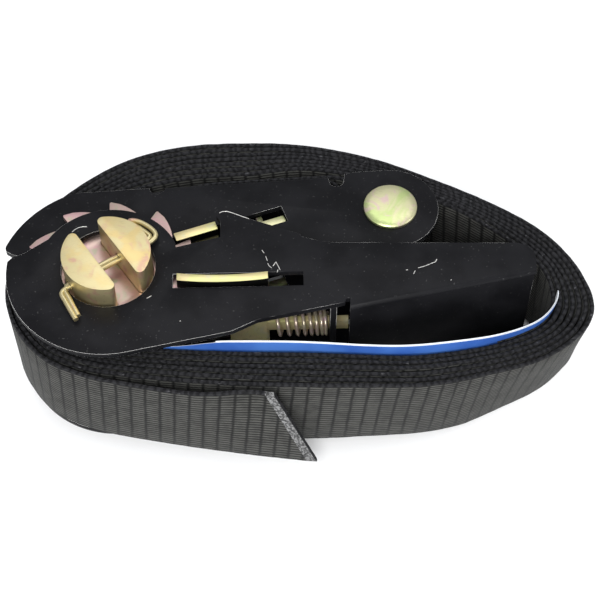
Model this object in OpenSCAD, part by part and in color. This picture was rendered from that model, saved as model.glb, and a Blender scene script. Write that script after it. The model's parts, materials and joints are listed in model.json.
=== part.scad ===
// Ratchet tie down for 25 mm webbing, lying on its side with the strap wound round it.
// Millimetres. +Z runs along the spindle axis, +X from the spindle towards the handle tip,
// +Y from the grip side towards the back of the base frame. The floor is z = 0.

/* [Webbing] */
// Width of the webbing
strap_w = 25; // [20:0.5:25.5]
// Thickness of one layer of webbing
strap_t = 1.2; // [0.8:0.05:1.3]
// How far the coil sags at its right end
coil_sag = 7.9; // [6:0.1:7.9]
// How far the cut end of the strap stands out from the coil
tail_flare = 3.4; // [0:0.2:6]

/* [Base frame] */
// Thickness of the frame and handle sheet
sheet_t = 1.5; // [1:0.1:1.6]
// Clear width between the base plates
base_gap = 26.2; // [26:0.1:27]
// Spindle axis to anchor rivet, along the base
anchor_dist = 67.75; // [62:0.25:75]
// Radius of the rounded end of the base
base_end_r = 11.6; // [10:0.1:12.5]
// Radius of the part of the base plate that carries the tail
tail_r = 26.8; // [25:0.1:27]
// Angle between the base and the X axis
base_angle = 4.74; // [3:0.01:6]

/* [Handle] */
// Overall width of the handle
handle_w = 36.8; // [36.6:0.1:38]
// Spindle axis to handle tip
handle_len = 99.5; // [94:0.5:100]
// Radius of the round end of the handle
handle_r = 23.7; // [22:0.1:24]
// Angle of the grip web to the X axis
grip_angle = 13.3; // [12:0.1:14]

/* [Spindle] */
// Radius of the spindle
spindle_r = 10.3; // [9.5:0.1:10.6]
// Width of the slot that takes the webbing
slot_w = 5.8; // [5:0.1:6.5]
// Direction in which the webbing slot lies
slot_angle = -54.7; // [-90:0.1:90]
// Number of teeth on each ratchet wheel
teeth = 11; // [11:1:11]
// Radius over the tooth tips
tooth_tip_r = 20.9; // [20:0.1:21]
// Radius at the tooth roots
tooth_root_r = 16.4; // [15.5:0.1:17.5]
// Thickness of a ratchet wheel
wheel_t = 1.3; // [1:0.05:1.3]

/* [Pawls] */
// Thickness of the drive pawl
drive_pawl_t = 2; // [1.6:0.1:2]
// Thickness of the locking pawl
locking_pawl_t = 2.4; // [2:0.1:2.5]
// Outer diameter of the pawl springs
spring_d = 6.6; // [5.5:0.1:6.8]
// Wire of the pawl springs
spring_wire = 0.9; // [0.6:0.05:1]

/* [Hidden] */

$fn = 96;

// spindle axis to the middle of the whole outline, so that the origin is bottom centre
mid_x = 44.47;
mid_y = 4.45;

// levels, from the floor up
head_t = 1.85;
handle_z = 2;
mid_z = handle_z + handle_w / 2;
top_z = mid_z * 2 + 4;
base_w = base_gap + 2 * sheet_t;
strap_z = mid_z - strap_w / 2;
handle_top = handle_z + handle_w;
base_top = mid_z + base_w / 2;
wheel_z = base_top + 0.15;
lip_t = 0.6;
lip_z = handle_top - sheet_t - 0.15 - lip_t;

// holes
bearing_r = 11;
pin_r = 1.15;
pin_z = handle_top + 0.4 + pin_r;
rivet_r = 3;
rivet_head_r = 6.46;
sleeve_r = 4.5;

// base outline, in the base's own directions: along the web, and out through it
anchor_q = 14.75;
web_q = 25.45;
web_start = 13.8;
web_end = 53.5;
cam_r = 17.5;
tail_low = 160.2;
tail_high = 109;

// pawl guides
drive_angle = 1.5;
drive_offset = -4.4;
lock_angle = 20.4;
lock_offset = 4.1;
ear_rise = 1.5;

// paint and plating
black_paint = [0.09, 0.09, 0.10];
yellow_zinc = [0.78, 0.72, 0.50];
green_zinc = [0.70, 0.76, 0.48];
pink_zinc = [0.80, 0.60, 0.58];
webbing_black = [0.14, 0.14, 0.14];

// Centre line of the innermost turn, from the front middle anticlockwise round the coil.
inner_turn = [
    [50, -16.2], [67, -15.8], [84, -11.8], [97, -6], [101.9, -1.4], [103, 3], [101.5, 9], [93, 15],
    [78.5, 22.7], [62, 29.5], [46, 32.5], [31, 30.2], [17, 28.9], [4, 25], [-6, 17.4], [-12.4, 7.8],
    [-14.4, -1], [-12.2, -8.2], [-7, -13.2], [0, -15.2], [12, -16.1], [30, -16.4]];

// Centre line of the outermost turn, at the same places.
outer_turn = [
    [51, -29.2], [72, -26.4], [90, -20], [103, -14.4], [112, -6.8], [114.8, 1], [111.6, 11.4], [102.4, 20.6],
    [82, 28.6], [64.6, 36.6], [47, 41.4], [32, 42.6], [14.4, 41.2], [-0.4, 35.6], [-14.2, 24.2], [-22.6, 11],
    [-24.4, 0], [-22.4, -10], [-16.2, -18.8], [-8, -23.6], [2, -26], [26, -28.6]];
turns = 8;

// ---- points and outlines -------------------------------------------------------------

function arc(c, r, a0, a1, steps = 24) =
    [for (i = [0:steps]) let (a = a0 + (a1 - a0) * i / steps) c + r * [cos(a), sin(a)]];

function spline(a, b, c, d, t) =
    0.5 * (2 * b + (c - a) * t + (2 * a - 5 * b + 4 * c - d) * t * t + (3 * b - a - 3 * c + d) * t * t * t);

function on_loop(pts, f) =
    let (n = len(pts), g = (f - floor(f)) * n, i = floor(g))
    spline(pts[(i + n - 1) % n], pts[i % n], pts[(i + 1) % n], pts[(i + 2) % n], g - i);

// place on the strap after t turns, shifted by side layers outwards
function strap_point(t, side = 0) =
    let (a = on_loop(inner_turn, t), b = on_loop(outer_turn, t))
    a + (b - a) * (t + side) / turns;

// outward unit normal of the coil at a share f of a turn
function outward(f) =
    let (d = on_loop(outer_turn, f + 0.002) - on_loop(outer_turn, f - 0.002))
    [d[1], -d[0]] / norm(d);

function smooth(s) = let (c = min(max(s, 0), 1)) c * c * (3 - 2 * c);

// how far the coil has dropped at a place; the sag runs towards the front right
sag_dir = [0.93, -0.37];
sag_from = 62.1;
sag_over = 41;
function sag(p) = coil_sag * smooth((p * sag_dir - sag_from) / sag_over);

// ---- shared solids -------------------------------------------------------------------

// everything is drawn round the spindle axis, then moved so that the origin is bottom centre
module place() {
    translate([-mid_x, -mid_y, 0]) children();
}

// the same plate low and high on the ratchet, mirrored about the middle of the webbing
module both_sides() {
    children();
    translate([0, 0, 2 * mid_z]) mirror([0, 0, 1]) children();
}

// a closed ring between two loops of points, with a sagging bottom and top
module ring_solid(inside, outside, height) {
    n = len(inside);
    lows = [for (p = inside) [p[0], p[1], strap_z - sag(p)], for (p = outside) [p[0], p[1], strap_z - sag(p)]];
    highs = [for (p = lows) p + [0, 0, height]];
    polyhedron(
        points = concat(lows, highs),
        faces = [for (i = [0:n - 1]) let (j = (i + 1) % n) each [
            [i, j, n + j, n + i],
            [n + i, n + j, 3 * n + j, 3 * n + i],
            [2 * n + i, 3 * n + i, 3 * n + j, 2 * n + j],
            [i, 2 * n + i, 2 * n + j, j]]]);
}

// a strip standing on edge between two rows of points; the far end may be cut on a slant
module strip_solid(inside, outside, low, high) {
    n = len(inside);
    rows = [for (p = inside) [p[0], p[1], low - sag(p)], for (p = outside) [p[0], p[1], low - sag(p)],
            for (p = inside) [p[0], p[1], high - sag(p)], for (p = outside) [p[0], p[1], high - sag(p)]];
    strip_faces(rows, n);
}

module strip_faces(rows, n) {
    polyhedron(
        points = rows,
        faces = [
            for (i = [0:n - 2]) each [
                [i, i + 1, n + i + 1, n + i],
                [n + i, n + i + 1, 3 * n + i + 1, 3 * n + i],
                [2 * n + i, 3 * n + i, 3 * n + i + 1, 2 * n + i + 1],
                [i, 2 * n + i, 2 * n + i + 1, i + 1]],
            [0, n, 3 * n, 2 * n],
            [n - 1, 3 * n - 1, 4 * n - 1, 2 * n - 1]]);
}

// a wire spring along +X from the origin, with closed end coils
module wire_spring(length, coils) {
    steps = 14;
    sides = 6;
    wire = spring_wire / 2;
    r = spring_d / 2 - wire;
    n = round(coils * steps);
    function along(s) = wire + (length - 2 * wire) * (s - 0.08 * sin(360 * s));
    rings = [for (i = [0:n]) let (s = i / n, a = 360 * i / steps)
        for (k = [0:sides - 1]) let (w = 360 * k / sides, q = r + wire * cos(w))
            [along(s) + wire * sin(w), q * cos(a), q * sin(a)]];
    polyhedron(
        points = rings,
        faces = [
            for (i = [0:n - 1], k = [0:sides - 1]) let (m = (k + 1) % sides)
                [i * sides + k, i * sides + m, (i + 1) * sides + m, (i + 1) * sides + k],
            [for (k = [0:sides - 1]) sides - 1 - k],
            [for (k = [0:sides - 1]) n * sides + k]]);
}

// ---- base frame and anchor -----------------------------------------------------------

function base_outline() = concat(
    arc([anchor_dist, anchor_q], base_end_r, 90, -100, 48),
    [[26, -1.2]],
    arc([0, 0], cam_r, -8, tail_low - 360, 48),
    [(tail_r - 2.6) * [cos(tail_low), sin(tail_low)]],
    arc((tail_r - 1.8) * [cos(tail_low - 4.4), sin(tail_low - 4.4)], 1.8, tail_low + 50, tail_low - 4.4, 6),
    arc([0, 0], tail_r, tail_low - 6, tail_high, 16),
    [[-5.6, web_q], [9.96, web_q]],
    arc([web_start - 1.94, web_q], 1.9, 180, 360, 12),
    [[web_end, web_q], [web_end + 0.3, web_q - 1.4]],
    arc([web_end + 2.1, web_q - 1.4], 1.8, 180, 350, 10),
    [[web_end + 4.2, web_q + 0.5], [60.5, anchor_q + base_end_r]]);

module lock_frame() {
    rotate(lock_angle) translate([0, lock_offset, 0]) children();
}

// slot in the base plates for the locking pawl, with its spring seat at the far end
lock_slot_from = 15;
lock_slot_to = 44.7;
module lock_slot() {
    translate([lock_slot_from, -3.2, 0]) cube([lock_slot_to - lock_slot_from, 4.7, 100]);
}

module base_frame() {
    color(black_paint) place() difference() {
        rotate(base_angle) {
            both_sides() translate([0, 0, mid_z - base_w / 2]) linear_extrude(sheet_t) polygon(base_outline());
            translate([web_start, web_q - sheet_t, mid_z - base_w / 2])
                cube([web_end - web_start, sheet_t, base_w]);
        }
        cylinder(r = bearing_r, h = 100);
        rotate(base_angle) translate([anchor_dist, anchor_q, 0]) cylinder(r = rivet_r + 0.05, h = 100);
        lock_frame() lock_slot();
    }
}

module anchor_place() {
    place() rotate(base_angle) translate([anchor_dist, anchor_q, 0]) children();
}

// shank with a low domed head formed over each plate
module anchor_rivet() {
    low = mid_z - base_w / 2;
    color(green_zinc) anchor_place() {
        translate([0, 0, low]) cylinder(r = rivet_r, h = base_w);
        both_sides() translate([0, 0, base_top]) rotate_extrude() polygon([
            [0, 0], [rivet_head_r, 0], [rivet_head_r, 0.7], [rivet_head_r - 0.5, 1.1],
            [rivet_head_r - 1.8, 1.35], [2.4, 1.5], [0, 1.5]]);
    }
}

module anchor_sleeve() {
    color(yellow_zinc) anchor_place() translate([0, 0, mid_z - base_gap / 2]) difference() {
        cylinder(r = sleeve_r, h = base_gap);
        translate([0, 0, -1]) cylinder(r = rivet_r + 0.1, h = base_gap + 2);
    }
}

// ---- handle --------------------------------------------------------------------------

// a point at x on a line parallel to the grip web, a distance below the spindle axis
function grip_line(x, dist) = [x, (x * sin(grip_angle) - dist) / cos(grip_angle)];

web_from = 56;
fold_r = handle_r + 0.06;
cut_r = 16.8;

function handle_outline() = concat(
    [[96, 7.1]],
    arc([handle_len - 4.4, 2.7], 4.4, 80, 0, 8),
    [grip_line(handle_len, fold_r), grip_line(web_from, fold_r), grip_line(web_from, fold_r - 2.6),
     grip_line(web_from - 1, fold_r - 2.6), grip_line(web_from - 1.2, handle_r - 1.7),
     grip_line(35, handle_r - 1.7), grip_line(29, handle_r)],
    arc([0, 0], handle_r, grip_angle - 90, -184, 48),
    [[-22.4, 3.1], [-20.6, 3.6]],
    arc([0, 0], cut_r, 151, 25, 36),
    [[15.3, 5.8], [25.7, 8.8], [25.6, 13.4], [24.6, 15]],
    arc([26.7, 14.6], 1.75, 175, 62, 8),
    [[32.6, 14.1], [44.5, 9.7]],
    arc([54, 31.2], 24, 247, 270, 6));

// slot for an ear of the drive pawl
drive_slot_from = 15;
drive_slot_to = 45.2;
module drive_frame() {
    rotate(drive_angle) translate([0, drive_offset, 0]) children();
}
module drive_slot() {
    translate([drive_slot_from, -1.75, 0]) cube([drive_slot_to - drive_slot_from, 3.9, 100]);
}

module handle_frame() {
    color(black_paint) place() difference() {
        union() {
            both_sides() translate([0, 0, handle_z]) linear_extrude(sheet_t) polygon(handle_outline());
            translate([0, 0, handle_z]) linear_extrude(handle_w) polygon([
                grip_line(web_from, fold_r), grip_line(handle_len - 0.4, fold_r),
                grip_line(handle_len - 0.4, fold_r - sheet_t), grip_line(web_from, fold_r - sheet_t)]);
        }
        translate([0, 0, -1]) cylinder(r = bearing_r, h = 100);
        translate([0, 0, -1]) drive_frame() drive_slot();
    }
}

// cross plate between the handle plates that the drive spring bears on
seat_x = 51.5;
module drive_spring_seat() {
    color(black_paint) place() difference() {
        translate([seat_x, -10, handle_z + sheet_t]) cube([sheet_t, 12, handle_w - 2 * sheet_t]);
        drive_frame() translate([seat_x - 1, -0.1, mid_z]) rotate([0, 90, 0]) cylinder(r = 2.4, h = 4);
    }
}

// ---- spindle -------------------------------------------------------------------------

// D-shaped outline of one spindle half, flat side at x, with rounded corners
function d_outline(r, flat, corner) =
    let (cx = flat + corner, cy = sqrt(pow(r - corner, 2) - cx * cx), a = atan2(cy, cx))
    concat(arc([0, 0], r, -a, a, 40), arc([cx, cy], corner, a, 180, 8), arc([cx, -cy], corner, 180, 360 - a, 8));

module spindle_half(side) {
    color(yellow_zinc) place() rotate(slot_angle + 90 + side) difference() {
        union() {
            linear_extrude(top_z) polygon(d_outline(spindle_r, slot_w / 2, 1.2));
            linear_extrude(head_t) polygon(d_outline(spindle_r + 2, slot_w / 2, 1.2));
        }
        translate([0, 0, pin_z]) rotate([0, 90, 0]) cylinder(r = pin_r + 0.1, h = 20);
    }
}
module spindle_half_left() { spindle_half(180); }
module spindle_half_right() { spindle_half(0); }

// each tooth has a radial face on its anticlockwise side and a long sloping back
first_tip = 28.35;
function wheel_outline() = [for (i = [0:teeth - 1]) let (a = first_tip + 360 * i / teeth, pitch = 360 / teeth)
    each concat(
        [tooth_tip_r * [cos(a - 0.8), sin(a - 0.8)], (tooth_tip_r - 0.35) * [cos(a), sin(a)]],
        [(tooth_root_r + 0.4) * [cos(a), sin(a)], tooth_root_r * [cos(a + 1.4), sin(a + 1.4)]],
        [for (k = [1:6]) let (s = k / 7, b = a + 1.4 + (pitch - 4.6) * s)
            (tooth_root_r + (tooth_tip_r - tooth_root_r) * pow(s, 0.85)) * [cos(b), sin(b)]])];

module ratchet_wheel(z) {
    color(pink_zinc) place() translate([0, 0, z]) difference() {
        linear_extrude(wheel_t) polygon(wheel_outline());
        for (side = [0, 180]) rotate(slot_angle + 90 + side) translate([0, 0, -1])
            linear_extrude(wheel_t + 2) polygon(d_outline(spindle_r + 0.08, slot_w / 2 - 0.08, 1.2));
    }
}
module ratchet_wheel_upper() { ratchet_wheel(wheel_z); }
module ratchet_wheel_lower() { ratchet_wheel(2 * mid_z - wheel_z - wheel_t); }

// pin through both spindle halves; its eye and its legs are bent round them
pin_bend = 28;
module split_pin() {
    reach = spindle_r + 1.7;
    half_t = 0.5;
    half_h = 1.05;
    edge = 0.3;
    color(green_zinc) place() rotate(slot_angle + 90) {
        translate([-reach, 0, pin_z]) rotate([0, 90, 0]) cylinder(r = pin_r, h = 2 * reach, $fn = 32);
        for (side = [-2, 178]) rotate(side) rotate_extrude(angle = pin_bend) translate([reach, pin_z]) polygon([
            [-half_t, edge - half_h], [edge - half_t, -half_h], [half_t - edge, -half_h], [half_t, edge - half_h],
            [half_t, half_h - edge], [half_t - edge, half_h], [edge - half_t, half_h], [-half_t, half_h - edge]]);
    }
}

// ---- drive pawl ----------------------------------------------------------------------

// centre line of the bowed drive pawl plate, along its guide
bow = 0.7;
ear_from = 16.0;
ear_to = 37;
function bow_line(x) = [x, bow * pow((2 * x - ear_from - ear_to) / (ear_to - ear_from), 2) - bow / 2];
function bow_outline(from, to) = concat(
    [for (i = [0:12]) bow_line(from + (to - from) * i / 12) - [0, drive_pawl_t / 2]],
    [for (i = [12:-1:0]) bow_line(from + (to - from) * i / 12) + [0, drive_pawl_t / 2]]);

body_from = 27.6;
shank_to = 56;
module drive_pawl() {
    nose = [[21.05, 2.55], [21.65, 4.3], [24, 4.6], [body_from + 0.5, 1], [body_from + 0.5, -0.9], [24.2, -0.8],
            [23.2, 2.4]];
    color(yellow_zinc) place() drive_frame() {
        translate([0, 0, handle_z - ear_rise]) linear_extrude(handle_w + 2 * ear_rise)
            polygon(bow_outline(body_from, ear_to));
        both_sides() translate([0, 0, handle_z - ear_rise]) linear_extrude(sheet_t + ear_rise)
            polygon(bow_outline(ear_from, body_from + 0.5));
        both_sides() translate([0, 0, wheel_z]) linear_extrude(wheel_t) polygon(nose);
        translate([ear_to - 0.5, -0.9, mid_z - 1.7]) cube([shank_to - ear_to + 0.5, 1.6, 3.4]);
    }
}

module drive_pawl_spring() {
    color(yellow_zinc) place() translate([0, 0, mid_z]) drive_frame()
        translate([ear_to + 0.15, -0.1, 0]) wire_spring(seat_x - ear_to - 0.5, 8);
}

// ---- locking pawl --------------------------------------------------------------------

lock_from = 21;
lock_to = 27.8;
lock_lip_from = 17.4;
lock_seat_x = 38;
module locking_pawl() {
    half = locking_pawl_t / 2;
    color(green_zinc) place() lock_frame() {
        translate([lock_from, -half, 2 * mid_z - lip_z - lip_t])
            cube([lock_to - lock_from, locking_pawl_t, 2 * (lip_z + lip_t - mid_z)]);
        both_sides() translate([lock_lip_from, -half, lip_z])
            cube([lock_from - lock_lip_from + 0.5, locking_pawl_t, lip_t]);
        translate([lock_to - 0.5, -0.8, mid_z - 1.7]) cube([lock_seat_x - lock_to + 1, 1.6, 3.4]);
    }
}

// bent plate held in the end of the base slots; the locking spring bears on it
module locking_spring_seat() {
    tab_t = 1.3;
    color(green_zinc) place() lock_frame() difference() {
        union() {
            translate([lock_seat_x, -3, mid_z - base_gap / 2]) cube([sheet_t, 4.3, base_gap]);
            both_sides() translate([lock_seat_x, -3, mid_z + base_gap / 2 - tab_t / 2])
                cube([lock_slot_to - lock_seat_x - 0.2, 2.3, tab_t]);
        }
        translate([lock_seat_x - 1, -0.05, mid_z]) rotate([0, 90, 0]) cylinder(r = 2.1, h = 4);
    }
}

module locking_pawl_spring() {
    color(yellow_zinc) place() translate([0, 0, mid_z]) lock_frame()
        translate([lock_to + 0.15, 0, 0]) wire_spring(lock_seat_x - lock_to - 0.3, 6);
}

// ---- strap and label -----------------------------------------------------------------

ring_steps = 88;
first_from = 0.54;
first_to = 1.44;
label_room = 0.7;
label_t = 0.4;
tail_start = 0.86;

// the first turn, from the end of the sewn loop round to its own start; it lies inside the label
module strap_inner_turn() {
    inside = [for (i = [0:ring_steps]) let (t = first_from + (first_to - first_from) * i / ring_steps)
        strap_point(t) - outward(t) * strap_t / 2];
    outside = [for (i = [0:ring_steps]) let (t = first_from + (first_to - first_from) * i / ring_steps)
        strap_point(t) + outward(t) * strap_t / 2];
    color(webbing_black) place() strip_solid(inside, outside, strap_z, strap_z + strap_w);
}

// all the turns outside the label, as one ring
module strap_outer_turns() {
    inside = [for (i = [0:ring_steps - 1]) let (f = i / ring_steps, t = f > first_from - 0.07 ? f : f + 1)
        strap_point(t) + outward(f) * (strap_t / 2 + label_room)];
    outside = [for (i = [0:ring_steps - 1]) let (f = i / ring_steps, last = f > tail_start ? turns - 2 : turns - 1)
        strap_point(f, last) + outward(f) * strap_t / 2];
    color(webbing_black) place() ring_solid(inside, outside, strap_w);
}

// free end of the strap, standing away from the coil and cut on a slant
tail_steps = 14;
tail_slant = 9.2;
tail_gap = 0.45;
function tail_point(s, past) =
    let (f = tail_start + (1 - tail_start) * s)
    strap_point(f, turns - 1) + outward(f) * (tail_flare * s * s + past);
module strap_tail() {
    near = [for (i = [0:tail_steps]) tail_point(i / tail_steps, tail_gap - strap_t / 2)];
    far = [for (i = [0:tail_steps]) tail_point(i / tail_steps, tail_gap + strap_t / 2)];
    n = tail_steps + 1;
    back = [for (i = [0:tail_steps]) [tail_slant * pow(i / tail_steps, 4), 0, 0]];
    rows = [for (p = near) [p[0], p[1], strap_z], for (p = far) [p[0], p[1], strap_z],
            for (i = [0:tail_steps]) [near[i][0], near[i][1], strap_z + strap_w] - back[i],
            for (i = [0:tail_steps]) [far[i][0], far[i][1], strap_z + strap_w] - back[i]];
    color(webbing_black) place() strip_faces(rows, n);
}

// loop round the anchor, sewn flat along the back of the base web
loop_r = 5.8;
loop_sewn_from = 24;
loop_gap = 0.15;
module loop_rail() {
    corner = web_end + 1.6;
    translate([loop_sewn_from, web_q + loop_gap]) square([corner - loop_sewn_from, 2 * strap_t]);
    hull() {
        translate([corner, web_q + loop_gap + strap_t]) circle(strap_t, $fn = 32);
        translate([anchor_dist - 3.2, anchor_q + 3.9]) circle(1.5, $fn = 32);
    }
}
module strap_anchor_loop() {
    color(webbing_black) place() rotate(base_angle) translate([0, 0, strap_z]) linear_extrude(strap_w)
        difference() {
            union() {
                translate([anchor_dist, anchor_q]) circle(loop_r);
                loop_rail();
            }
            translate([anchor_dist, anchor_q]) circle(sleeve_r + 0.1);
        }
}

// rows of thread across the sewn part of the loop
module strap_stitching() {
    color([0.2, 0.2, 0.2]) place() rotate(base_angle)
        for (i = [0:4]) translate([28 + 5 * i, web_q + loop_gap + 2 * strap_t, strap_z + 2])
            cube([0.8, 0.1, strap_w - 4]);
}

// folded paper label held between the turns at the front, a little higher than the webbing
label_from = 0.9;
label_to = 1.215;
label_rise = 2.8;
label_gap = (label_room - label_t) / 2;
function label_line(out) = [for (i = [0:30]) let (t = label_from + (label_to - label_from) * i / 30)
    strap_point(t) + outward(t) * (strap_t / 2 + out)];
module label() {
    color([0.25, 0.45, 0.8]) place() strip_solid(
        label_line(label_gap), label_line(label_gap + label_t), strap_z + 1, strap_z + strap_w + label_rise);
}

// stitches that hold the label to the strap, at its front left end
module label_stitching() {
    p = label_line(label_gap / 2);
    color("white") place() for (i = [1:3]) translate([p[i][0], p[i][1], strap_z + 4])
        cylinder(r = 0.07, h = strap_w - 8, $fn = 16);
}

base_frame();
anchor_rivet();
anchor_sleeve();
locking_spring_seat();
handle_frame();
drive_spring_seat();
ratchet_wheel_upper();
ratchet_wheel_lower();
spindle_half_left();
spindle_half_right();
split_pin();
drive_pawl();
drive_pawl_spring();
locking_pawl();
locking_pawl_spring();
strap_anchor_loop();
strap_inner_turn();
strap_outer_turns();
strap_tail();
strap_stitching();
label();
label_stitching();
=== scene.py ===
# Ratchet tie down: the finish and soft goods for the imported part. Metres, in the frame of the part.
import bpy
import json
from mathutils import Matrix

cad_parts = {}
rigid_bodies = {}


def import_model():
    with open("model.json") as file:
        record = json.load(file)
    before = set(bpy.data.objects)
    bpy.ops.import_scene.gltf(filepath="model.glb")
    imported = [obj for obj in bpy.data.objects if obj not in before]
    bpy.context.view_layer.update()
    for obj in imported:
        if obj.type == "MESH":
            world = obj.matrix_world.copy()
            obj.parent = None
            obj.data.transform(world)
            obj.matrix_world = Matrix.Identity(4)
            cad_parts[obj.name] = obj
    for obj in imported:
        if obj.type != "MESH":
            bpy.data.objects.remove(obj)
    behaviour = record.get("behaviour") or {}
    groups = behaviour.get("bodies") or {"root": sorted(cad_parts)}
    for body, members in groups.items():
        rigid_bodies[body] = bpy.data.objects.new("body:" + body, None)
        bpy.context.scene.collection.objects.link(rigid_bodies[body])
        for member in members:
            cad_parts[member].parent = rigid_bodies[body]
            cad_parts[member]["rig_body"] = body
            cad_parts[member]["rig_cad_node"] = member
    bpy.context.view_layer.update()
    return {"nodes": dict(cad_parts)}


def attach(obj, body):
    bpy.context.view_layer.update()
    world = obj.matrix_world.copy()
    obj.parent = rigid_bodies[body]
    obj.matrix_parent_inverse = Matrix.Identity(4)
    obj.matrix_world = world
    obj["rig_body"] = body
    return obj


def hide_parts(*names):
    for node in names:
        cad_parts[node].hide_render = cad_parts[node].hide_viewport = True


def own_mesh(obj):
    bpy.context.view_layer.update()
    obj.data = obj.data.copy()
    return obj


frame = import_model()

import json
import math

import bmesh
import bpy
from mathutils import Matrix, Vector, noise

mm = 0.001
nodes = frame["nodes"]
axis = {"x": -44.47, "y": -4.45, "middle": 20.4}  # spindle axis and the middle of the webbing, in mm
scene = bpy.context.scene

# ---- camera

shot = {"place": (0.00003, -0.20975, 0.332), "aim": (0.00003, 0.00715, 0.0079), "lens": 92.46}
bpy.ops.object.camera_add(location=shot["place"])
camera = bpy.context.active_object
camera.data.lens = shot["lens"]
camera.data.sensor_width = 36
camera.data.clip_start = 0.01
look = Vector(shot["aim"]) - Vector(shot["place"])
camera.rotation_euler = look.to_track_quat("-Z", "Y").to_euler()
scene.camera = camera


# ---- small helpers

def only(piece):
    bpy.ops.object.select_all(action="DESELECT")
    piece.select_set(True)
    bpy.context.view_layer.objects.active = piece


def smoothStep(s):
    c = min(max(s, 0), 1)
    return c * c * (3 - 2 * c)


def place(u, v, z):
    # u and v are measured from the spindle axis, z from the floor, all in mm
    return Vector(((u + axis["x"]) * mm, (v + axis["y"]) * mm, z * mm))


def turned(u, v, degrees):
    a = math.radians(degrees)
    return u * math.cos(a) - v * math.sin(a), u * math.sin(a) + v * math.cos(a)


def meshPiece(name, points, faces, materials, faceSlots=None):
    mesh = bpy.data.meshes.new(name)
    mesh.from_pydata(points, [], faces)
    for material in materials:
        mesh.materials.append(material)
    if faceSlots:
        mesh.polygons.foreach_set("material_index", faceSlots)
    piece = bpy.data.objects.new(name, mesh)
    scene.collection.objects.link(piece)
    mesh.update()
    return piece


def join(name, pieces):
    bpy.ops.object.select_all(action="DESELECT")
    for piece in pieces:
        piece.select_set(True)
    bpy.context.view_layer.objects.active = pieces[0]
    if len(pieces) > 1:
        bpy.ops.object.join()
    whole = bpy.context.active_object
    whole.name = name
    whole.data.name = name
    return whole


def faceOut(piece, angle):
    # normals outwards, and smooth where faces meet below this angle
    only(piece)
    bpy.ops.object.mode_set(mode="EDIT")
    bpy.ops.mesh.select_all(action="SELECT")
    bpy.ops.mesh.normals_make_consistent(inside=False)
    bpy.ops.object.mode_set(mode="OBJECT")
    bpy.ops.object.shade_smooth_by_angle(angle=math.radians(angle))


def wire(name, paths, radius, material, sides=3):
    curve = bpy.data.curves.new(name, "CURVE")
    curve.dimensions = "3D"
    curve.bevel_depth = radius
    curve.bevel_resolution = sides
    curve.use_fill_caps = True
    for points in paths:
        spline = curve.splines.new("POLY")
        spline.points.add(len(points) - 1)
        for spot, point in zip(spline.points, points):
            spot.co = (*point, 1)
    piece = bpy.data.objects.new(name, curve)
    scene.collection.objects.link(piece)
    only(piece)
    bpy.ops.object.convert(target="MESH")
    piece = bpy.context.active_object
    piece.data.materials.clear()
    piece.data.materials.append(material)
    bpy.ops.object.shade_smooth()
    return piece


def softened(points, times, keep=1):
    for _ in range(times):
        points = points[:keep] + [
            (a + 2 * b + c) / 4 for a, b, c in zip(points[keep - 1:], points[keep:], points[keep + 1:])
        ] + points[-keep:]
    return points


# ---- materials

def startMaterial(name):
    material = bpy.data.materials.new(name)
    material.use_nodes = True
    tree = material.node_tree
    return material, tree, tree.nodes["Principled BSDF"]


def addNode(tree, kind, **settings):
    node = tree.nodes.new("ShaderNode" + kind)
    for key, value in settings.items():
        setattr(node, key, value)
    return node


def feed(tree, socket, value):
    if isinstance(value, (int, float)):
        socket.default_value = value
    else:
        tree.links.new(value, socket)


def maths(tree, operation, first, second=0.0, third=0.0):
    node = addNode(tree, "Math", operation=operation)
    for socket, value in zip(node.inputs, (first, second, third)):
        feed(tree, socket, value)
    return node.outputs[0]


def separated(tree, vector):
    node = addNode(tree, "SeparateXYZ")
    tree.links.new(vector, node.inputs[0])
    return node.outputs


def fromMiddle(tree, value):
    # 0 in the middle of each repeat and 1 at its ends
    centred = maths(tree, "SUBTRACT", maths(tree, "FRACT", value), 0.5)
    return maths(tree, "MULTIPLY", maths(tree, "ABSOLUTE", centred), 2)


def ramp(tree, value, low, high, fromLow=0.0, fromHigh=1.0):
    node = addNode(tree, "MapRange", interpolation_type="SMOOTHSTEP")
    for key, number in (("From Min", fromLow), ("From Max", fromHigh), ("To Min", low), ("To Max", high)):
        node.inputs[key].default_value = number
    feed(tree, node.inputs["Value"], value)
    return node.outputs["Result"]


def blendColours(tree, share, first, second):
    node = addNode(tree, "Mix", data_type="RGBA")
    feed(tree, node.inputs[0], share)
    for socket, value in ((node.inputs[6], first), (node.inputs[7], second)):
        if isinstance(value, tuple):
            socket.default_value = (*value, 1)
        else:
            tree.links.new(value, socket)
    return node.outputs[2]


def objectCoords(tree, stretch=(1, 1, 1), turn=0.0):
    coords = addNode(tree, "TexCoord").outputs["Object"]
    if stretch == (1, 1, 1) and turn == 0:
        return coords
    mapping = addNode(tree, "Mapping")
    mapping.inputs["Scale"].default_value = stretch
    mapping.inputs["Rotation"].default_value = (0, 0, math.radians(turn))
    tree.links.new(coords, mapping.inputs["Vector"])
    return mapping.outputs[0]


def clouds(tree, coords, scale, detail=3.0, twist=0.0):
    node = addNode(tree, "TexNoise")
    node.inputs["Scale"].default_value = scale
    node.inputs["Detail"].default_value = detail
    node.inputs["Distortion"].default_value = twist
    tree.links.new(coords, node.inputs["Vector"])
    return node.outputs["Fac"]


def bump(tree, shader, height, strength, distance):
    node = addNode(tree, "Bump")
    node.inputs["Strength"].default_value = strength
    node.inputs["Distance"].default_value = distance
    tree.links.new(height, node.inputs["Height"])
    tree.links.new(node.outputs[0], shader.inputs["Normal"])


blackFinish = {
    "dark": (0.0055, 0.0055, 0.0065), "light": (0.010, 0.010, 0.0115), "steel": (0.88, 0.87, 0.84)}


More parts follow.
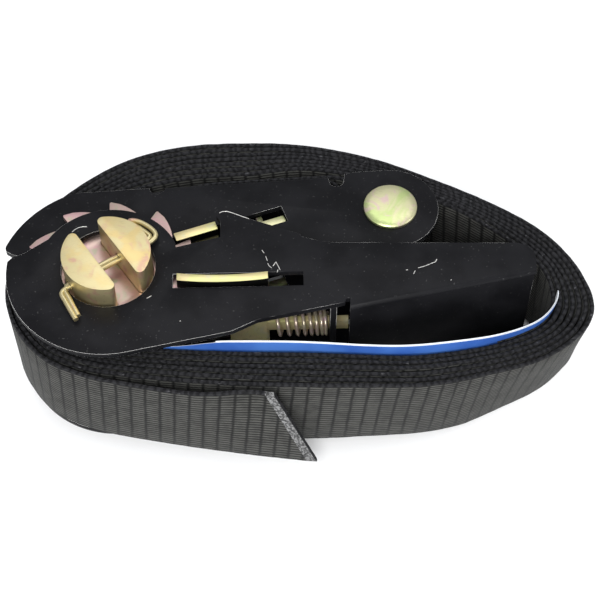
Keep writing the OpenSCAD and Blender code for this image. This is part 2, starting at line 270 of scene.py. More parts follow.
def paintMaterial(name, wearAndHighlightRange):
    # stove enamel: fine orange peel, dust, and bare steel where the share of wear and painted highlight says
    material, tree, shader = startMaterial(name)
    coords = objectCoords(tree)
    tone = ramp(tree, clouds(tree, coords, 90), 0, 1, 0.35, 0.65)
    paint = blendColours(tree, tone, blackFinish["dark"], blackFinish["light"])
    dust = ramp(tree, clouds(tree, coords, 1900, 1), 0, 0.10, 0.70, 0.80)
    paint = blendColours(tree, dust, paint, (0.35, 0.35, 0.34))
    if wearAndHighlightRange:
        # bare steel in noisy patches is wear; the extra bare share growing towards the front left is a
        # painted highlight where the rounded rims catch the light
        spot = separated(tree, coords)
        frontLeftHighlight = maths(tree, "MULTIPLY_ADD", spot[0], -4.0, -0.12)
        frontLeftHighlight = maths(tree, "MULTIPLY_ADD", spot[1], -8.0, frontLeftHighlight)
        wearPatchesAndHighlight = maths(tree, "ADD", clouds(tree, coords, 75, 4, 0.6), maths(tree, "MAXIMUM", frontLeftHighlight, -0.05))
        bareWearAndHighlight = ramp(tree, wearPatchesAndHighlight, 0, 1, wearAndHighlightRange[0], wearAndHighlightRange[1])
        paint = blendColours(tree, bareWearAndHighlight, paint, blackFinish["steel"])
        tree.links.new(maths(tree, "MULTIPLY", bareWearAndHighlight, 0.45), shader.inputs["Metallic"])
    tree.links.new(paint, shader.inputs["Base Color"])
    tree.links.new(ramp(tree, clouds(tree, coords, 260), 0.30, 0.44), shader.inputs["Roughness"])
    shader.inputs["Specular IOR Level"].default_value = 0.07
    bump(tree, shader, clouds(tree, coords, 1300, 2), 0.12, 0.00006)
    return material


zincMetal = 0.93


def zincMaterial(name, colours, size, roughness, metal=zincMetal):
    # yellow passivated zinc: cloudy interference colours, fine scratches
    material, tree, shader = startMaterial(name)
    coords = objectCoords(tree)
    cloud = clouds(tree, coords, size, 3, 1.2)
    other = clouds(tree, objectCoords(tree, (1, 1, 1), 40), size * 2.3, 3, 0.8)
    colour = blendColours(tree, ramp(tree, cloud, 0, 1, 0.38, 0.58), colours[0], colours[1])
    colour = blendColours(tree, ramp(tree, other, 0, 1, 0.52, 0.68), colour, colours[2])
    marks = clouds(tree, objectCoords(tree, (1, 9, 1), 25), 900, 2)
    colour = blendColours(tree, ramp(tree, marks, 0, 0.30, 0.60, 0.74), colour, (0.30, 0.24, 0.15))
    tree.links.new(colour, shader.inputs["Base Color"])
    tree.links.new(ramp(tree, other, roughness - 0.06, roughness + 0.1), shader.inputs["Roughness"])
    shader.inputs["Metallic"].default_value = metal
    bump(tree, shader, marks, 0.15, 0.00004)
    return material


def dullBelow(material, metal, low, high):
    # the plating is duller between the plates than on the rubbed ears above
    tree = material.node_tree
    height = separated(tree, objectCoords(tree))[2]
    shader = tree.nodes["Principled BSDF"]
    tree.links.new(ramp(tree, height, metal, zincMetal, low, high), shader.inputs["Metallic"])


def paintedShadeOnEarSides(material, low, high):
    # painted shade and dark reflection: the sideways faces of the ears above the given height are painted
    # near black
    tree = material.node_tree
    shader = tree.nodes["Principled BSDF"]
    facing = separated(tree, addNode(tree, "NewGeometry").outputs["Normal"])[2]
    height = separated(tree, objectCoords(tree))[2]
    side = ramp(tree, facing, 1, 0, 0.2, 0.7)
    share = maths(tree, "MULTIPLY", side, ramp(tree, height, 0, 1, low, high))
    colour = shader.inputs["Base Color"].links[0].from_socket
    tree.links.new(blendColours(tree, share, colour, (0.012, 0.012, 0.012)), shader.inputs["Base Color"])


webWeave = {
    "rib": 3.4 * mm, "row": 0.95 * mm, "skew": -0.07,
    "lit": (0.062, 0.062, 0.056), "deep": (0.003, 0.003, 0.003)}


def webbingMaterial():
    # ribs across the width, each a column of short lengthwise floats; u runs along the strap, v across
    material, tree, shader = startMaterial("wovenWebbing")
    uv = addNode(tree, "UVMap", uv_map="weave").outputs[0]
    along, across, _ = separated(tree, uv)
    wobble = clouds(tree, objectCoords(tree), 240, 2)
    shifted = maths(tree, "MULTIPLY_ADD", wobble, 0.00035, along)
    shifted = maths(tree, "MULTIPLY_ADD", across, webWeave["skew"], shifted)
    ribs = maths(tree, "DIVIDE", shifted, webWeave["rib"])
    column = maths(tree, "FLOOR", ribs)
    jitter = addNode(tree, "TexWhiteNoise", noise_dimensions="1D")
    tree.links.new(column, jitter.inputs["W"])
    rows = maths(tree, "DIVIDE", across, webWeave["row"])
    rows = maths(tree, "MULTIPLY_ADD", jitter.outputs["Value"], 0.3, rows)
    ribShape = ramp(tree, fromMiddle(tree, ribs), 1, 0.12, 0.62, 0.98)
    rowShape = ramp(tree, fromMiddle(tree, rows), 1, 0, 0.30, 0.80)
    height = maths(tree, "MULTIPLY", ribShape, maths(tree, "MULTIPLY_ADD", rowShape, 0.94, 0.06))
    patchy = clouds(tree, objectCoords(tree), 420, 3)
    shade = maths(tree, "MULTIPLY", height, ramp(tree, patchy, 0.62, 1.15, 0.3, 0.7))
    colour = blendColours(tree, shade, webWeave["deep"], webWeave["lit"])
    tree.links.new(colour, shader.inputs["Base Color"])
    shader.inputs["Roughness"].default_value = 0.72
    shader.inputs["Specular IOR Level"].default_value = 0.16
    shader.inputs["Sheen Weight"].default_value = 0.04
    shader.inputs["Sheen Roughness"].default_value = 0.5
    bump(tree, shader, height, 0.75, 0.00022)
    return material


def selvageMaterial():
    # the woven edge, where the weft turns back in small knots
    material, tree, shader = startMaterial("webbingSelvage")
    uv = addNode(tree, "UVMap", uv_map="weave").outputs[0]
    wobble = clouds(tree, objectCoords(tree), 500, 2)
    along = maths(tree, "MULTIPLY_ADD", wobble, 0.0026, separated(tree, uv)[0])
    knots = fromMiddle(tree, maths(tree, "DIVIDE", along, webWeave["rib"] / 2))
    shape = ramp(tree, knots, 1, 0, 0.2, 0.95)
    fibres = clouds(tree, objectCoords(tree), 2600, 3)
    lint = ramp(tree, clouds(tree, objectCoords(tree, (0.45, 1, 1)), 1300, 3), 0, 0.5, 0.65, 0.78)
    height = maths(tree, "ADD", shape, maths(tree, "MULTIPLY", fibres, 0.8))
    colour = blendColours(tree, shape, (0.004, 0.004, 0.005), (0.016, 0.016, 0.018))
    colour = blendColours(tree, lint, colour, (0.16, 0.16, 0.17))
    tree.links.new(colour, shader.inputs["Base Color"])
    shader.inputs["Roughness"].default_value = 0.8
    shader.inputs["Specular IOR Level"].default_value = 0.22
    bump(tree, shader, height, 0.9, 0.0003)
    return material


def sealedEnd():
    # melted and frayed cut end
    material, tree, shader = startMaterial("sealedCut")
    fibres = clouds(tree, objectCoords(tree), 1900, 3)
    tone = ramp(tree, fibres, 0, 1, 0.40, 0.62)
    colour = blendColours(tree, tone, (0.015, 0.015, 0.015), (0.19, 0.19, 0.19))
    tree.links.new(colour, shader.inputs["Base Color"])
    shader.inputs["Roughness"].default_value = 0.6
    bump(tree, shader, fibres, 1.0, 0.0004)
    return material


def filmMaterial(name, colour, shadeColour, roughness):
    material, tree, shader = startMaterial(name)
    coords = objectCoords(tree)
    tone = ramp(tree, clouds(tree, coords, 60, 3), 0, 1, 0.35, 0.65)
    tree.links.new(blendColours(tree, tone, colour, shadeColour), shader.inputs["Base Color"])
    shader.inputs["Roughness"].default_value = roughness
    bump(tree, shader, clouds(tree, coords, 500, 3), 0.15, 0.0001)
    return material


def threadMaterial(name, colour):
    material, tree, shader = startMaterial(name)
    twist = clouds(tree, objectCoords(tree, (1, 1, 3)), 2400, 2)
    shade = ramp(tree, twist, 0, 1, 0.35, 0.65)
    dark = tuple(0.4 * c for c in colour)
    tree.links.new(blendColours(tree, shade, dark, colour), shader.inputs["Base Color"])
    shader.inputs["Roughness"].default_value = 0.7
    bump(tree, shader, twist, 0.5, 0.0001)
    return material


paint = paintMaterial("blackEnamel", None)
# edge finishes: wear, plus a painted highlight towards the front left
wornAndHighlitEdge = paintMaterial("wornEnamelEdgeWithPaintedHighlight", (0.44, 0.56))
wornAndHighlitBase = paintMaterial("wornBaseEdgeWithPaintedHighlight", (0.34, 0.52))
goldZinc = zincMaterial("goldZinc", ((0.60, 0.47, 0.22), (0.58, 0.50, 0.28), (0.56, 0.36, 0.26)), 95, 0.38)
greenZinc = zincMaterial(
    "greenZinc", ((0.47, 0.55, 0.24), (0.58, 0.56, 0.34), (0.60, 0.46, 0.42)), 120, 0.38)
roseZinc = zincMaterial("roseZinc", ((0.62, 0.40, 0.40), (0.58, 0.43, 0.38), (0.46, 0.46, 0.33)), 130, 0.40)
springZinc = zincMaterial(
    "springZinc", ((0.74, 0.58, 0.48), (0.66, 0.60, 0.42), (0.78, 0.62, 0.62)), 260, 0.30, 0.6)
pawlZinc = zincMaterial("pawlZinc", ((0.62, 0.60, 0.27), (0.66, 0.56, 0.30), (0.60, 0.56, 0.36)), 110, 0.38)
dullBelow(pawlZinc, 0.2, 32 * mm, 35 * mm)
# painted shade on the ears' sideways faces
paintedShadeOnEarSides(pawlZinc, 34 * mm, 35 * mm)
selvage = selvageMaterial()
print("materials ready")


# ---- metal parts: a merged, bevelled copy of each node

def dressNode(node, name, body, materials, bevel, segments=2):
    only(nodes[node])
    bpy.ops.object.duplicate()
    piece = bpy.context.active_object
    piece.name = name
    piece.data = piece.data.copy()
    piece.data.name = name
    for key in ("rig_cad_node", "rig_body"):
        if key in piece:
            del piece[key]
    piece.parent = None
    piece.data.materials.clear()
    for material in materials:
        piece.data.materials.append(material)
    piece.data.polygons.foreach_set("material_index", [0] * len(piece.data.polygons))
    bpy.ops.object.mode_set(mode="EDIT")
    bpy.ops.mesh.select_all(action="SELECT")
    bpy.ops.mesh.remove_doubles(threshold=0.000004)
    bpy.ops.mesh.dissolve_limited(angle_limit=math.radians(0.5))
    bpy.ops.object.mode_set(mode="OBJECT")
    if piece.data.has_custom_normals:
        bpy.ops.mesh.customdata_custom_splitnormals_clear()
    for fold in foldLines.get(node, []):
        roundFold(piece, fold)
    only(piece)
    edge = piece.modifiers.new("edge", "BEVEL")
    edge.width = bevel
    edge.segments = segments
    edge.limit_method = "ANGLE"
    edge.angle_limit = math.radians(30)
    edge.use_clamp_overlap = True
    if len(materials) > 1:
        edge.material = 1
    bpy.ops.object.modifier_apply(modifier="edge")
    bpy.ops.object.shade_smooth_by_angle(angle=math.radians(34))
    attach(piece, body)
    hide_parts(node)


def roundFold(piece, fold):
    # a sheet's outer fold: the long corner edge at this level and distance is rounded like bent sheet
    only(piece)
    bpy.ops.object.mode_set(mode="EDIT")
    bpy.ops.mesh.select_mode(type="EDGE")
    bpy.ops.mesh.select_all(action="DESELECT")
    shape = bmesh.from_edit_mesh(piece.data)
    normal = Vector((math.cos(math.radians(fold["normal"])), math.sin(math.radians(fold["normal"])), 0))
    centre = place(0, 0, 0)
    found = 0
    for e in shape.edges:
        ends = [v.co for v in e.verts]
        level = all(abs(p.z - fold["z"] * mm) < 0.02 * mm for p in ends)
        lined = all(abs((p - centre).dot(normal) - fold["out"] * mm) < 0.06 * mm for p in ends)
        if level and lined and e.calc_length() > fold["longest"] * mm:
            e.select_set(True)
            found += 1
    bmesh.update_edit_mesh(piece.data)
    if found:
        bpy.ops.mesh.bevel(offset=fold["radius"] * mm, segments=6, affect="EDGES", clamp_overlap=True)
    bpy.ops.object.mode_set(mode="OBJECT")
    print("fold", piece.name, fold["z"], found)


foldLines = {
    "handle_frame": [
        {"normal": 13.3 - 90, "out": 23.76, "z": 38.8, "longest": 20, "radius": 1.25},
        {"normal": 13.3 - 90, "out": 23.76, "z": 2.0, "longest": 20, "radius": 1.25}],
    "base_frame": [
        {"normal": 4.74 + 90, "out": 25.45, "z": 35.0, "longest": 20, "radius": 1.2},
        {"normal": 4.74 + 90, "out": 25.45, "z": 5.8, "longest": 20, "radius": 1.2}]}

dressNode("base_frame", "baseFrame", "frame", [paint, wornAndHighlitBase], 0.14 * mm)
dressNode("handle_frame", "handleFrame", "handle", [paint, wornAndHighlitEdge], 0.18 * mm)
dressNode("drive_spring_seat", "driveSpringSeat", "handle", [paint, wornAndHighlitEdge], 0.10 * mm)
dressNode("anchor_rivet", "anchorRivet", "frame", [greenZinc], 0.15 * mm, 3)
dressNode("anchor_sleeve", "anchorSleeve", "frame", [goldZinc], 0.15 * mm)
dressNode("locking_spring_seat", "lockingSpringSeat", "frame", [greenZinc], 0.12 * mm)
dressNode("ratchet_wheel_upper", "ratchetWheelUpper", "spindle", [roseZinc], 0.10 * mm)
dressNode("ratchet_wheel_lower", "ratchetWheelLower", "spindle", [roseZinc], 0.10 * mm)
dressNode("spindle_half_left", "spindleHalfLeft", "spindle", [goldZinc], 0.40 * mm, 4)
dressNode("spindle_half_right", "spindleHalfRight", "spindle", [goldZinc], 0.40 * mm, 4)
dressNode("drive_pawl", "drivePawl", "drive_pawl", [pawlZinc], 0.16 * mm)
dressNode("locking_pawl", "lockingPawl", "locking_pawl", [pawlZinc], 0.16 * mm)
print("metal parts dressed")


# ---- marks on the handle's upper plate, in bare steel: worn scratches and chips, and a thin bright arc round the spindle hole

scratch = {"level": 38.8, "size": 0.13, "sunk": 0.09}
wearMarks = [
    [(35.6, 5.0), (36.1, 4.1)], [(36.5, 3.2), (36.9, 1.9)], [(37.0, 1.2), (37.3, 0.5), (37.9, -0.1)],
    [(38.2, 0.4), (38.9, 1.6)], [(38.9, 1.6), (39.3, 0.7), (39.9, -0.7)], [(39.2, -1.3), (39.4, -0.6)],
    [(71.9, -0.1), (73.4, 0.4), (74.7, 1.0)], [(74.8, 1.1), (76.0, 1.6), (76.4, 2.4)],
    [(70.8, -1.8), (71.2, -0.9)], [(69.1, -0.7), (69.5, -0.6)], [(79.3, -3.6), (79.5, -3.4)],
    [(9.4, -8.6), (10.0, -8.2), (10.4, -7.9)], [(17.2, -14.9), (17.4, -14.7)],
    [(25.3, 15.9), (26.1, 16.3), (27.2, 16.35), (28.6, 15.8), (30.6, 14.9), (32.4, 14.15)],
    [(-9.3, 10.2), (-8.7, 10.9), (-7.9, 11.5), (-7.0, 11.8), (-5.9, 11.8)]]
bareSteel, bareTree, bareShader = startMaterial("bareSteel")
bareTone = clouds(bareTree, objectCoords(bareTree), 1500, 2)
bareTree.links.new(blendColours(bareTree, bareTone, (0.35, 0.34, 0.32), (0.75, 0.74, 0.71)),
                   bareShader.inputs["Base Color"])
bareShader.inputs["Metallic"].default_value = 0.7
bareShader.inputs["Roughness"].default_value = 0.4
marks = [[place(u, v, scratch["level"] - scratch["sunk"]) for u, v in line] for line in wearMarks]
handleWear = wire("handleWear", marks, scratch["size"] * mm, bareSteel, 2)
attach(handleWear, "handle")

# painted highlight: a thin pale line along the base's bend, where the rounded fold catches the light
bendHighlightLine = {"from": 14.5, "to": 53.0, "out": 24.85, "level": 34.84, "size": 0.09, "turn": 4.74}
bendHighlightPoints = []
for k in range(25):
    u = bendHighlightLine["from"] + (bendHighlightLine["to"] - bendHighlightLine["from"]) * k / 24
    v = bendHighlightLine["out"] + 0.05 * math.sin(k * 1.7)
    bendHighlightPoints.append(place(*turned(u, v, bendHighlightLine["turn"]), bendHighlightLine["level"]))
paintedBendHighlight = wire("paintedBendHighlight", [bendHighlightPoints], bendHighlightLine["size"] * mm, wornAndHighlitBase, 2)
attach(paintedBendHighlight, "frame")


# ---- split pin: one wire folded back on itself, its eye hugging one side and its legs bent on the other

pin = {"z": 40.35, "turn": 35.3, "reach": 12.0, "wire": 0.64, "apart": 0.53, "eyeGap": 1.7,
       "eyeFrom": -4, "eyeEnd": 37, "legEnd": 213}


def pinStrand(side):
    # side -1 is the strand nearer the spindle; angles run from the slot's cross direction
    path = []
    for k in range(15):
        s = 1 - k / 14
        angle = 180 + (pin["legEnd"] - 180) * s
        r = pin["reach"] + 0.5 + side * pin["apart"] + 3.4 * s * s
        path.append((*turned(r, 0, angle), -0.25 * s))
    for k in range(1, 12):
        x = (pin["reach"] - 0.6) * (k / 6 - 1)
        path.append((x, -side * pin["apart"], 0))
    for k in range(15):
        s = k / 14
        angle = pin["eyeFrom"] * (1 + side) / 2 + (pin["eyeEnd"] - pin["eyeFrom"] * (1 + side) / 2) * s
        gap = pin["eyeGap"] * math.sqrt(max(1 - s ** 4, 0)) * min(0.35 + s * 3, 1)
        r = pin["reach"] + 1.0 + side * gap / 2
        path.append((*turned(r, 0, angle), 0.0))
    return [place(*turned(x, y, pin["turn"]), pin["z"] + dz) for x, y, dz in path]


pinRoute = pinStrand(-1) + pinStrand(1)[::-1]
splitPin = wire("splitPin", [softened(pinRoute, 4)], pin["wire"] * mm, goldZinc, 3)
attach(splitPin, "spindle")
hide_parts("split_pin")


# ---- pawl springs: real coils

def coilSpring(name, node, body, spring):
    points = []
    count = spring["turns"] * 20
    r = spring["radius"]
    for k in range(count + 1):
        s = k / count
        x = spring["from"] + (spring["to"] - spring["from"]) * (s + spring["tighten"] * s * (1 - s))
        a = 2 * math.pi * k / 20
        local = (x, spring["offset"] + r * math.cos(a))
        points.append(place(*turned(*local, spring["turn"]), axis["middle"] + r * math.sin(a)))
    piece = wire(name, [points], spring["wire"] * mm, springZinc, 3)
    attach(piece, body)
    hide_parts(node)
    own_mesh(piece)


coilSpring("drivePawlSpring", "drive_pawl_spring", "handle", {
    "from": 38.2, "to": 51.0, "turns": 8, "radius": 2.85, "offset": -4.5, "turn": 1.5, "wire": 0.45,
    "tighten": 0.55, "joint": "drive_pawl_slide", "keep": 0.57})
coilSpring("lockingPawlSpring", "locking_pawl_spring", "frame", {
    "from": 28.4, "to": 37.2, "turns": 6, "radius": 2.85, "offset": 4.1, "turn": 20.4, "wire": 0.45,
    "tighten": 0.0, "joint": "locking_pawl_slide", "keep": 0.66})
print("pin and springs made")


# ---- webbing: one strap, sewn round the anchor and then wound about 7.4 times round the ratchet

strap = {"width": 25.0, "thick": 1.08, "low": 7.9, "turns": 8, "from": 0.6, "step": 1.15,
         "sag": 7.9, "sagFrom": 62.1, "sagOver": 41, "sagDir": (0.93, -0.37),
         "tailFrom": 7.86, "tailGap": 0.45, "flare": 4.2, "slant": 10.2, "slantOver": 30,
         "tuck": 3.0, "tuckOver": 34, "sealed": 2, "end": 7.995}
innerTurn = [
    (50, -16.2), (67, -15.8), (84, -11.8), (97, -6), (101.9, -1.4), (103, 3), (101.5, 9), (93, 15),
    (78.5, 22.7), (62, 29.5), (46, 32.5), (31, 30.2), (17, 28.9), (4, 25), (-6, 17.4), (-12.4, 7.8),
    (-14.4, -1), (-12.2, -8.2), (-7, -13.2), (0, -15.2), (12, -16.1), (30, -16.4)]
outerTurn = [
    (51, -29.2), (72, -26.4), (90, -20), (103, -14.4), (112, -6.8), (114.8, 1), (111.6, 11.4), (102.4, 20.6),
    (82, 28.6), (64.6, 36.6), (47, 41.4), (32, 42.6), (14.4, 41.2), (-0.4, 35.6), (-14.2, 24.2), (-22.6, 11),
    (-24.4, 0), (-22.4, -10), (-16.2, -18.8), (-8, -23.6), (2, -26), (26, -28.6)]


def onLoop(points, f):
    n = len(points)
    g = (f - math.floor(f)) * n
    i = int(g)
    t = g - i
    a, b, c, d = (Vector(points[(i + k) % n]) for k in (-1, 0, 1, 2))
    square = 2 * a - 5 * b + 4 * c - d
    cube = 3 * b - a - 3 * c + d
    return 0.5 * (2 * b + (c - a) * t + square * t * t + cube * t ** 3)


def strapPoint(t):
    a = onLoop(innerTurn, t)
    b = onLoop(outerTurn, t)
    return a + (b - a) * (t / strap["turns"])


def outward(f):
    d = onLoop(outerTurn, f + 0.002) - onLoop(outerTurn, f - 0.002)
    return Vector((d.y, -d.x)).normalized()


def sag(p):
    along = p.dot(Vector(strap["sagDir"]))
    return strap["sag"] * smoothStep((along - strap["sagFrom"]) / strap["sagOver"])


def lean(p):
    # the front right of the coil leans outwards at its top
    front = smoothStep((8 - p.y) / 16)
    right = smoothStep((p.x - 40) / 35)
    return 1.5 * front * right


def foot(p):
    # there its foot is drawn in under it
    return 2.8 * smoothStep((p.x - 80) / 22) * smoothStep((6 - p.y) / 14)


anchor = {"p": 67.75, "q": 14.75, "r": 5.25, "web": 25.45, "near": 0.75, "far": 1.95, "turn": 4.74}


def loopPath():
    # along the web, round the anchor sleeve and back over itself
    near = anchor["web"] + anchor["near"]
    far = anchor["web"] + anchor["far"]
    points = [(24, near), (36, near), (48, near), (55, anchor["web"] + 0.55)]
    for k in range(13):
        a = math.radians(-149 + 216 * k / 12)
        points.append((anchor["p"] + anchor["r"] * math.cos(a), anchor["q"] + anchor["r"] * math.sin(a)))
    points += [(62, 24.6), (55.6, far), (48, far), (36, far), (26, anchor["web"] + 1.97)]
    return [Vector(turned(*p, anchor["turn"])) for p in points]


def strapPath():
    path = loopPath()
    steps = 3200
    last = strap["tailFrom"]
    for k in range(steps + 1):
        t = strap["from"] + (strap["end"] - strap["from"]) * k / steps
        p = strapPoint(t)
        p += outward(t) * (0.22 * smoothStep((t - 1.0) / 0.4))
        if t > last - 0.06:
            p += outward(t) * strap["tailGap"] * smoothStep((t - last + 0.06) / 0.06)
        if t > last:
            s = (t - last) / (strap["end"] - last)
            p += outward(t) * strap["flare"] * s * s
        path.append(p)
    return path


def evenly(path, step):
    # the same route with points an even step apart
    lengths = [0.0]
    for a, b in zip(path, path[1:]):
        lengths.append(lengths[-1] + (b - a).length)
    count = round(lengths[-1] / step)
    points = []
    i = 0
    for k in range(count + 1):
        want = lengths[-1] * k / count
        while i < len(path) - 2 and lengths[i + 1] < want:
            i += 1
        span = lengths[i + 1] - lengths[i]
        points.append(path[i].lerp(path[i + 1], (want - lengths[i]) / span if span else 0))
    return points, lengths[-1]


def bandMesh(name, points, length, materials, section):
    # a band standing on edge along the points; section lists (out, up, slot) corners round it
    rows = []
    faces = []
    slots = []
    uvs = []
    slants = []
    size = len(section)
    count = len(points)
    for k, p in enumerate(points):
        before = points[max(k - 1, 0)]
        after = points[min(k + 1, count - 1)]
        d = (after - before).normalized()
        n = Vector((d.y, -d.x))
        toEnd = (count - 1 - k) * length / (count - 1)
        slant = strap["slant"] * smoothStep(1 - toEnd / strap["slantOver"])
        slants.append(slant / strap["width"])
        tuck = strap["tuck"] * smoothStep(1 - toEnd / strap["tuckOver"])
        layer = noise.noise(Vector((p.x * 0.02, p.y * 0.02, k * 0.004)))
        for out, up, _ in section:
            share = up / strap["width"]
            fine = noise.noise(Vector((p.x * 0.5, p.y * 0.5, k * 0.02 + up)))
            rise = 0.45 * layer + 0.12 * fine if share > 0.5 else 0.25 * abs(layer)
            spread = 1 + 0.18 * noise.noise(Vector((k * 0.31, up * 0.4, 3.0)))
            tilt = (lean(p) - tuck) * share - foot(p) * (1 - share)
            q = p + n * (out * spread + tilt) - d * slant * share
            rows.append(place(q.x, q.y, strap["low"] - sag(p) + up + max(rise, -0.3)))
    for k in range(count - 1):
        for c in range(size):
            e = (c + 1) % size
            faces.append((k * size + c, k * size + e, (k + 1) * size + e, (k + 1) * size + c))
            slots.append(2 if k > count - 2 - strap["sealed"] else section[c][2])
            near = k * length / (count - 1) * mm
            far = (k + 1) * length / (count - 1) * mm
            low = section[c][1] * mm
            high = section[e][1] * mm
            uvs += [(near - slants[k] * low, low), (near - slants[k] * high, high),
                    (far - slants[k + 1] * high, high), (far - slants[k + 1] * low, low)]
    faces.append(tuple(range(size))[::-1])
    faces.append(tuple((count - 1) * size + c for c in range(size)))
    slots += [1, 1]
    uvs += [(0, section[c][1] * mm) for c in reversed(range(size))]
    uvs += [(length * mm, section[c][1] * mm) for c in range(size)]
    piece = meshPiece(name, rows, faces, materials, slots)
    weave = piece.data.uv_layers.new(name="weave")
    weave.data.foreach_set("uv", [x for pair in uvs for x in pair])
    faceOut(piece, 50)
    return piece


half = strap["thick"] / 2
full = strap["width"]
webSection = [
    (-half, 0.4, 0), (-half, full * 0.33, 0), (-half, full * 0.67, 0), (-half, full - 0.4, 1),
    (-half * 0.5, full, 1), (half * 0.5, full, 1), (half, full - 0.4, 0),
    (half, full * 0.67, 0), (half, full * 0.33, 0), (half, 0.4, 1), (half * 0.5, 0, 1), (-half * 0.5, 0, 1)]
route, strapLength = evenly(strapPath(), strap["step"])
route = softened(route, 3)
strapMaterials = [webbingMaterial(), selvage, sealedEnd()]
strapPiece = bandMesh("webbingStrap", route, strapLength, strapMaterials, webSection)
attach(strapPiece, "frame")
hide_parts("strap_anchor_loop", "strap_inner_turn", "strap_outer_turns", "strap_tail")
print("strap wound, length in mm", round(strapLength), "triangles", 2 * len(strapPiece.data.polygons))


# ---- label: a folded strip of film between the first two turns at the front

label = {
    "from": 0.916, "to": 1.212, "low": 8.9, "rise": 2.8, "thick": 0.10, "out": 0.70, "whiteFrom": 0.945}
blueFilm = filmMaterial("blueFilm", (0.03, 0.10, 0.40), (0.06, 0.17, 0.52), 0.35)
whiteFilm = filmMaterial("whiteFilm", (0.86, 0.88, 0.90), (0.78, 0.81, 0.86), 0.45)


def labelPiece():
    steps = 90
    route = []
    for k in range(steps + 1):
        t = label["from"] + (label["to"] - label["from"]) * k / steps
        route.append((t, label["out"] + 0.07, 0))
    for k in range(steps + 1):
        t = label["to"] - (label["to"] - label["whiteFrom"]) * k / steps
        route.append((t, label["out"] - 0.10, 0.35))
    flat = [strapPoint(t) + outward(t) * out for t, out, _ in route]
    length = sum((b - a).length for a, b in zip(flat, flat[1:]))
    rows = []
    faces = []
    slots = []
    for k, (p, (t, out, lift)) in enumerate(zip(flat, route)):
        n = outward(t)
        low = label["low"] - sag(p)
        left = smoothStep((t - label["from"]) / 0.035)
        high = strap["low"] + strap["width"] - sag(p) + label["rise"] * (0.1 + 0.9 * left) + lift * left
        high += 0.25 * math.sin(t * 60) * left
        for side, z in ((-1, low), (1, low), (1, high), (-1, high)):
            share = (z - low) / (high - low)
            q = p + n * (side * label["thick"] / 2 + lean(p) * share - foot(p) * (1 - share))
            rows.append(place(q.x, q.y, z))
    count = len(flat)
    firstLeaf = steps + 1
    for k in range(count - 1):
        for c in range(4):
            e = (c + 1) % 4
            faces.append((k * 4 + c, k * 4 + e, (k + 1) * 4 + e, (k + 1) * 4 + c))
            outer = k < firstLeaf and c == 1
            slots.append(0 if outer else 1)
    faces.append((3, 2, 1, 0))
    faces.append(tuple((count - 1) * 4 + c for c in range(4)))
    slots += [1, 1]
    piece = meshPiece("foldedLabel", rows, faces, [blueFilm, whiteFilm], slots)
    faceOut(piece, 40)
    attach(piece, "frame")
    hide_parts("label")
    return length


labelLength = labelPiece()
print("label length in mm", round(labelLength))


# ---- sewing: short raised stitches, one made and the rest copied

def stitches(name, node, material, spots, radius, length):
    bpy.ops.object.select_all(action="DESELECT")
    bpy.ops.mesh.primitive_uv_sphere_add(segments=8, ring_count=5, radius=1)
    first = bpy.context.active_object
    first.data.materials.append(material)
    copies = []
    for spot, turn in spots:
        copy = first.copy()
        copy.data = first.data.copy()
        scene.collection.objects.link(copy)
        copy.data.transform(Matrix.Translation(spot) @ Matrix.Rotation(turn, 4, "Z")
                            @ Matrix.Diagonal((radius * 1.6 * mm, radius * mm, length / 2 * mm, 1)))
        copies.append(copy)
    bpy.data.objects.remove(first)
    piece = join(name, copies)
    only(piece)
    bpy.ops.object.shade_smooth()
    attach(piece, "frame")
    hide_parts(node)


seam = {"first": 28, "apart": 5, "rows": 5, "out": 27.95, "stitch": 2.3, "from": 11.2, "count": 8}
seamSpots = []
for row in range(seam["rows"]):
    for k in range(seam["count"]):
        u, v = turned(seam["first"] + seam["apart"] * row, seam["out"], anchor["turn"])
        z = seam["from"] + (k + 0.1) * (strap["width"] - 5) / (seam["count"] - 0.4)
        seamSpots.append((place(u, v, z), math.radians(anchor["turn"])))
blackThread = threadMaterial("blackThread", (0.03, 0.03, 0.03))
stitches("anchorSeam", "strap_stitching", blackThread, seamSpots, 0.22, seam["stitch"])

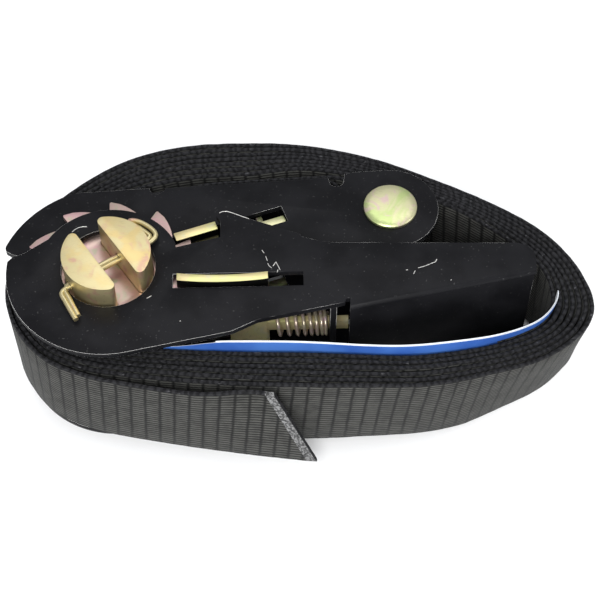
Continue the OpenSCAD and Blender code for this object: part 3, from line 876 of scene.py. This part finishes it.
labelSpots = []
for row in range(3):
    t = label["from"] + 0.012 + 0.01 * row
    p = strapPoint(t) + outward(t) * (strap["thick"] / 2 + 0.06)
    turn = math.atan2(outward(t).y, outward(t).x) + math.pi / 2
    for k in range(6):
        labelSpots.append((place(p.x, p.y, 12.5 + 3 * k), turn))
whiteThread = threadMaterial("whiteThread", (0.7, 0.7, 0.7))
stitches("labelSeam", "label_stitching", whiteThread, labelSpots, 0.09, 2.2)
print("sewing done")


# ---- floor and light

studio = {"floor": 4.0, "white": (0.96, 0.96, 0.96), "world": 0.62}
bpy.ops.object.select_all(action="DESELECT")
bpy.ops.mesh.primitive_plane_add(size=studio["floor"], location=(0, 0, 0))
floor = bpy.context.active_object
floor.name = "floor"
floorPaint, _, floorShader = startMaterial("paleFloor")
floorShader.inputs["Base Color"].default_value = (*studio["white"], 1)
floorShader.inputs["Roughness"].default_value = 0.9
floorShader.inputs["Specular IOR Level"].default_value = 0.1
floor.data.materials.append(floorPaint)

world = bpy.data.worlds.new("studio")
world.use_nodes = True
world.node_tree.nodes["Background"].inputs["Color"].default_value = (0.95, 0.97, 1.0, 1)
world.node_tree.nodes["Background"].inputs["Strength"].default_value = studio["world"]
scene.world = world


def softLight(name, spot, size, power, aim=(0, 0, 0.02)):
    data = bpy.data.lights.new(name, "AREA")
    data.shape = "RECTANGLE"
    data.size = size[0]
    data.size_y = size[1]
    data.energy = power
    lamp = bpy.data.objects.new(name, data)
    scene.collection.objects.link(lamp)
    lamp.location = spot
    lamp.rotation_euler = (Vector(aim) - Vector(spot)).to_track_quat("-Z", "Y").to_euler()


softLight("topLight", (0.1, 0.30, 0.9), (0.9, 0.6), 3.0)
softLight("frontLight", (-0.15, -0.85, 0.42), (1.0, 0.5), 6.0)
softLight("cameraLight", (-0.10, -0.55, 0.75), (0.35, 0.3), 4.5)
softLight("rightLight", (0.8, -0.2, 0.5), (0.4, 0.5), 1.5)
scene.view_settings.view_transform = "Standard"
print("floor and lights set")
